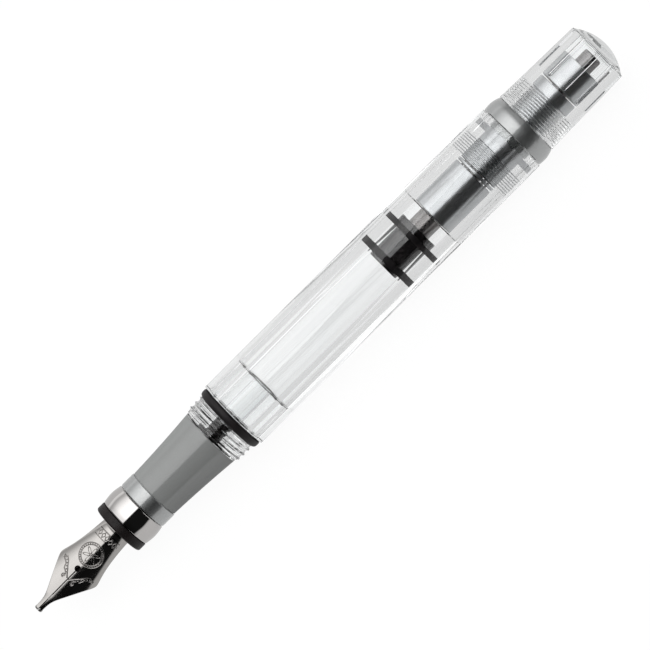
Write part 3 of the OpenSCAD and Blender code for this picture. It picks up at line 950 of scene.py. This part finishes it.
def nib():
    columns, cut_depth, edge = 120, 0.05, 0.12
    hole_start, hole_end = BREATHER_AT - BREATHER_R, BREATHER_AT + BREATHER_R
    hole_rows = BREATHER_AT - BREATHER_R * np.cos(np.linspace(0, math.pi, 41))
    z = np.concatenate([
        np.linspace(NIB_START, hole_start, 200)[:-1], hole_rows,
        np.linspace(hole_end, FLANGE_AT, 200)[1:], np.linspace(FLANGE_AT, NIB_END, 30)[1:],
    ])
    half = nib_half_width(np.minimum(z, FLANGE_AT)) - edge
    inner = np.sqrt(np.maximum(BREATHER_R ** 2 - (z - BREATHER_AT) ** 2, 0))
    slit = SLIT_HALF * (SLIT_AT_TIP + SLIT_OPENING * z / hole_start)
    inner = np.where(z <= hole_end, np.maximum(inner, np.where(z < BREATHER_AT, slit, 0)), 0)
    across = np.linspace(0, 1, columns)
    side = inner[:, None] + (half - inner)[:, None] * across[None, :]
    rows_z = np.repeat(z[:, None], columns, 1)
    top = np.stack([rows_z, side, nib_outer(rows_z, side)], -1)
    along = np.gradient(top, axis=0)
    over = np.gradient(top, axis=1)
    normal = np.cross(over, along)
    normal /= np.maximum(np.linalg.norm(normal, axis=-1, keepdims=True), 1e-9)
    normal *= np.sign(normal[..., 2:3])
    over /= np.maximum(np.linalg.norm(over, axis=-1, keepdims=True), 1e-9)
    cut = ornament(rows_z, side)
    outer = top - normal * (cut * cut_depth)[..., None]
    under = top - normal * NIB_SHEET
    # The slit narrows through the sheet, so that the tines nearly touch underneath
    before_hole = (z < hole_start)[:, None]
    pinch_reach = 0.2
    pinch = np.clip(1 - across / pinch_reach, 0, 1)[None, :] * before_hole
    under[..., 1] -= pinch * (slit * (1 - SLIT_PINCH))[:, None]
    thick = NIB_SHEET / 2
    round_cols = [
        top[:, -1] + normal[:, -1] * thick * (math.cos(a) - 1) + over[:, -1] * edge * math.sin(a)
        for a in np.radians([30, 60, 90, 120, 150])
    ]
    loop = np.concatenate([outer, np.stack(round_cols, 1), under[:, ::-1]], 1)
    # The engraving depth also goes to the material, which darkens the grooves as painted shade
    engraving_shade_values = np.concatenate([cut, np.zeros((len(z), len(round_cols) + columns))], 1)
    n_rows, n_cols = loop.shape[:2]
    last_open = int(np.searchsorted(z, hole_end - 1e-6))
    verts, faces, values = [], [], []
    for mirror in (1, -1):
        base = len(verts)
        half_loop = loop * np.array([1, mirror, 1])
        verts.extend(rolled(half_loop).reshape(-1, 3))
        values.extend(engraving_shade_values.reshape(-1))
        index = base + np.arange(n_rows * n_cols).reshape(n_rows, n_cols)
        for i in range(n_rows - 1):
            for j in range(n_cols - 1):
                faces.append((index[i, j], index[i + 1, j], index[i + 1, j + 1], index[i, j + 1]))
            if i < last_open:
                faces.append((index[i, n_cols - 1], index[i + 1, n_cols - 1],
                              index[i + 1, 0], index[i, 0]))
        for i in (0, n_rows - 1):
            for j in range(columns - 1):
                faces.append((index[i, j], index[i, j + 1],
                              index[i, n_cols - 2 - j], index[i, n_cols - 1 - j]))
            faces.append([index[i, j] for j in range(columns - 1, columns + len(round_cols) + 1)])
    obj = make_object("nib_engraved", verts, faces, NIB_STEEL, values={"engraving_shade": values})
    stands_for(obj, "nib")


def nib_tipping():
    """The writing tip: two short round-nosed bars, parted by the slit, with softened corners."""
    nose_r, center_up, back, corner = 0.42, 0.18, 0.56, 0.2
    around, steps = 40, 6
    tip_slit = SLIT_HALF * SLIT_AT_TIP
    slit_edge = 0.03
    turn = np.linspace(-math.pi / 2, math.pi / 2, around)
    verts, faces = [], []
    for mirror in (1, -1):
        sections = [(tip_slit, slit_edge)] + [
            (side, 0.0)
            for side in np.linspace(tip_slit + slit_edge, TIP_HALF - corner, steps)[:-1]
        ] + [
            (TIP_HALF - corner + corner * math.sin(a), corner * (1 - math.cos(a)))
            for a in np.linspace(0, math.pi / 2, steps)
        ]
        base = len(verts)
        for i, (side, inset) in enumerate(sections):
            r = nose_r - inset - tip_crown(NIB_START, side)
            outline = [(nose_r - r * math.cos(a), center_up + r * math.sin(a)) for a in turn]
            outline += [(back, center_up + r), (back, center_up - r)]
            pinch = tip_slit * (1 - SLIT_PINCH) * (i < 2)
            verts.extend(
                (s, mirror * (side - pinch * (center_up + nose_r - up) / (2 * nose_r)), up)
                for s, up in outline
            )
        n = around + 2
        last = base + (len(sections) - 1) * n
        for first in range(base, last, n):
            faces.extend(ring_faces(first, first + n, n))
        faces += [range(base, base + n), range(last, last + n)]
    obj = make_object("nib_tip_bar", rolled(verts), faces, TIPPING)
    stands_for(obj, "nib_tipping")


def feed():
    """The finned feed under the nib. Its skin is found by searching outwards from its middle."""
    start, end = 3.6, 37.4
    feed_r, fins, fins_at, pitch, gap = 2.25, 9, 9.2, 0.95, 0.4
    gap_floor, slot_half, nib_inset, side_inset = -0.5, 0.2, 0.35, NIB_SHEET + 0.03
    around, sharp = 128, 0.004
    edges = [(fins_at + i * pitch, fins_at + i * pitch + gap) for i in range(fins)]
    z = [*np.linspace(start, fins_at - 0.1, 40), *np.linspace(fins_at + fins * pitch, end, 40)]
    for low, high in edges:
        z += [low - sharp, low, (low + high) / 2, high, high + sharp, high + (pitch - gap) / 2]
    z = np.array(sorted(z))
    in_gap = np.array([any(low - 1e-6 <= s <= high + 1e-6 for low, high in edges) for s in z])
    turn = np.arange(around) * 2 * math.pi / around
    middle = np.interp(z, [start, 6, 9], [0.08, -0.1, -0.3])[:, None]
    lower = np.interp(z, [start, 12.5], [-0.2, -3.0])[:, None]
    zz = np.repeat(z[:, None], around, 1)
    front = zz < FLANGE_AT

    def inside(reach):
        side, up = reach * np.sin(turn)[None, :], middle + reach * np.cos(turn)[None, :]
        ok = side ** 2 + up ** 2 < feed_r ** 2
        ok &= up > lower
        ok &= ~(in_gap[:, None] & (up < gap_floor))
        ok &= ~((np.abs(side) < slot_half) & (up > 0) & (zz > start + 0.3))
        ok &= ~front | (up < nib_height(np.minimum(zz, FLANGE_AT), side, side_inset))
        return ok & (~front | (np.abs(side) < nib_half_width(zz) - nib_inset))

    nearest, furthest, halvings = 0.02, 3.2, 16
    low, high = np.full(zz.shape, nearest), np.full(zz.shape, furthest)
    for _ in range(halvings):
        mid = (low + high) / 2
        ok = inside(mid)
        low, high = np.where(ok, mid, low), np.where(ok, high, mid)
    points = np.stack([zz, low * np.sin(turn)[None, :], middle + low * np.cos(turn)[None, :]], -1)
    verts = rolled(points).reshape(-1, 3)
    last = (len(z) - 1) * around
    faces = [range(around), range(last, last + around)]
    for first in range(0, last, around):
        faces.extend(ring_faces(first, first + around, around))
    obj = make_object("feed_finned", verts, faces, MATT_BLACK)
    stands_for(obj, "feed")


# ---- Floor, light and camera --------------------------------------------------------------


def floor():
    """A pale floor that glows at a level of its own for each kind of ray: as the camera sees it,
    as it shows through the clear pieces, as it is mirrored, and as it lights matt surfaces."""
    seen, through, mirrored, scattered = 0.95, 0.86, 0.66, 0.2
    reach = 3.0
    mat = node_material("pale_floor", (0.08, 0.08, 0.08), roughness=0.9)
    tree = mat.node_tree
    rays = add_node(tree, "LightPath").outputs
    is_mirrored = add_node(tree, "Math", {0: rays["Glossy Depth"], 1: 0.5},
                           operation="GREATER_THAN")
    plain = add_node(tree, "Mix", {"Factor": rays["Is Camera Ray"], "A": through, "B": seen})
    glossy = add_node(tree, "Mix", {"Factor": is_mirrored.outputs["Value"],
                                    "A": plain.outputs["Result"], "B": mirrored})
    level = add_node(tree, "Mix", {"Factor": rays["Is Diffuse Ray"],
                                   "A": glossy.outputs["Result"], "B": scattered})
    glow = add_node(tree, "Emission", {"Color": (1, 1, 1, 1), "Strength": level.outputs["Result"]})
    both = add_node(tree, "AddShader", {0: tree.nodes["Principled BSDF"].outputs["BSDF"],
                                        1: glow.outputs["Emission"]})
    tree.links.new(both.outputs["Shader"], tree.nodes["Material Output"].inputs["Surface"])
    tint(mat, noise(mat, 3), (0.078, 0.078, 0.078), (0.082, 0.082, 0.082))
    mesh = bpy.data.meshes.new("floor")
    corners = [(-reach, -reach, 0), (reach, -reach, 0), (reach, reach, 0), (-reach, reach, 0)]
    mesh.from_pydata(corners, [], [(0, 1, 2, 3)])
    link_object("floor", mesh, mat)


# Sky levels round the pen: (angle in degrees from straight up towards -Y, level)
SKY = [(-180, 0.7), (-93, 0.9), (-86, 1.1), (-80, 1.0), (-73, 0.6), (-64, 0.75), (-50, 1.25),
       (-34, 1.7), (-15, 2.0), (12, 2.0), (14.5, 0.01), (76, 0.01), (82, 0.7), (180, 0.7)]
BACKDROP = 0.95
# A Mix node's sockets go by number where it mixes colours
MIX_FACTOR, MIX_A, MIX_B, MIX_RESULT = 0, 6, 7, 2


def studio_light():
    """A world of one long softbox over the pen, a dark gap on the camera's side and pale walls."""
    world = bpy.data.worlds.new("studio")
    bpy.context.scene.world = world
    world.use_nodes = True
    tree = world.node_tree
    direction = add_node(tree, "TexCoord").outputs["Generated"]
    split = add_node(tree, "SeparateXYZ", {"Vector": direction}).outputs
    aside = add_node(tree, "Math", {0: split["Y"], 1: -1}, operation="MULTIPLY")
    angle = add_node(tree, "Math", {0: aside.outputs["Value"], 1: split["Z"]},
                     operation="ARCTAN2")
    spread = add_node(tree, "MapRange", {"Value": angle.outputs["Value"],
                                         "From Min": -math.pi, "From Max": math.pi})
    ramp = add_node(tree, "ValToRGB", {"Fac": spread.outputs["Result"]})
    elements = ramp.color_ramp.elements
    ready = len(elements)
    top = max(level for _, level in SKY)
    for i, (degrees, level) in enumerate(SKY):
        position = (degrees + 180) / 360
        element = elements[i] if i < ready else elements.new(position)
        element.position = position
        element.color = (level / top, level / top, level / top, 1)
    # The softbox is only so long, so surfaces that face along the pen look darker
    fade_start, fade_end, end_level = 0.25, 0.6, 0.15
    endways = add_node(tree, "Math", {0: split["X"]}, operation="ABSOLUTE")
    ends = add_node(tree, "MapRange", {
        "Value": endways.outputs["Value"], "From Min": fade_start, "From Max": fade_end,
        "To Min": 1.0, "To Max": end_level}, interpolation_type="SMOOTHSTEP")
    fading = add_node(tree, "VectorMath", {0: ramp.outputs["Color"],
                                           "Scale": ends.outputs["Result"]}, operation="SCALE")
    backdrop = add_node(tree, "Mix", {
        MIX_FACTOR: add_node(tree, "LightPath").outputs["Is Camera Ray"],
        MIX_A: fading.outputs["Vector"],
        MIX_B: (BACKDROP / top, BACKDROP / top, BACKDROP / top, 1)}, data_type="RGBA")
    background = tree.nodes["Background"]
    tree.links.new(backdrop.outputs[MIX_RESULT], background.inputs["Color"])
    background.inputs["Strength"].default_value = top


def camera():
    """The photo's view: steep from the pen's -Y side, the pen running up to the right."""
    tilt = math.radians(18)
    distance, foot_at, aim_at, aim_aside = 0.65, 90.0, 66.4, 0.18 * MM
    field_of_view = math.radians(9.33)
    across_share, along_share = 0.7083, 0.7059
    toward = Vector((0, -math.sin(tilt), math.cos(tilt)))
    axis = Vector((0, 0, AXIS_Z))
    aside = Vector((1, 0, 0)).cross(toward)
    place_at = axis + Vector((TIP_X + foot_at * MM, 0, 0)) + distance * toward
    aim = axis + Vector((TIP_X + aim_at * MM, 0, 0)) + aim_aside * aside
    back = (place_at - aim).normalized()
    along = (Vector((1, 0, 0)) - back.x * back).normalized()
    aside = (aside - aside.dot(back) * back).normalized()
    right = (across_share * along + along_share * aside).normalized()
    up = back.cross(right)
    data = bpy.data.cameras.new("photo_view")
    data.sensor_width = 36
    data.angle = field_of_view
    data.clip_start = 0.01
    obj = bpy.data.objects.new("photo_view", data)
    bpy.context.scene.collection.objects.link(obj)
    obj.matrix_world = Matrix((right, up, back)).transposed().to_4x4()
    obj.matrix_world.translation = place_at
    bpy.context.scene.camera = obj


def look():
    scene = bpy.context.scene
    scene.view_settings.view_transform = "Standard"
    scene.view_settings.look = "None"
    bounces = 24
    scene.cycles.max_bounces = bounces
    scene.cycles.transmission_bounces = bounces
    scene.cycles.glossy_bounces = bounces
    scene.cycles.transparent_max_bounces = bounces


def finish_hidden_nodes():
    """The CAD nodes that stay as they are get a finish of their own."""
    for name, mat in (("housing_seal", RUBBER), ("spindle_retainer", BRASS)):
        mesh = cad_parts[name].data
        mesh.materials.clear()
        mesh.materials.append(mat)


for build in (nib, nib_tipping, feed, nib_housing, front_ring, grip_sleeve, section_core,
              section_o_ring, section_gasket, barrel, piston_guide, guide_washer, connector,
              rear_collar, piston_body, piston_rod, drive_screw, spline_coupling, coupling_screw,
              knob_shell, knob_end_cap):
    build()
for seal in ("piston_front_seal", "piston_rear_seal"):
    piston_seal(seal)
finish_hidden_nodes()
floor()
studio_light()
camera()
look()
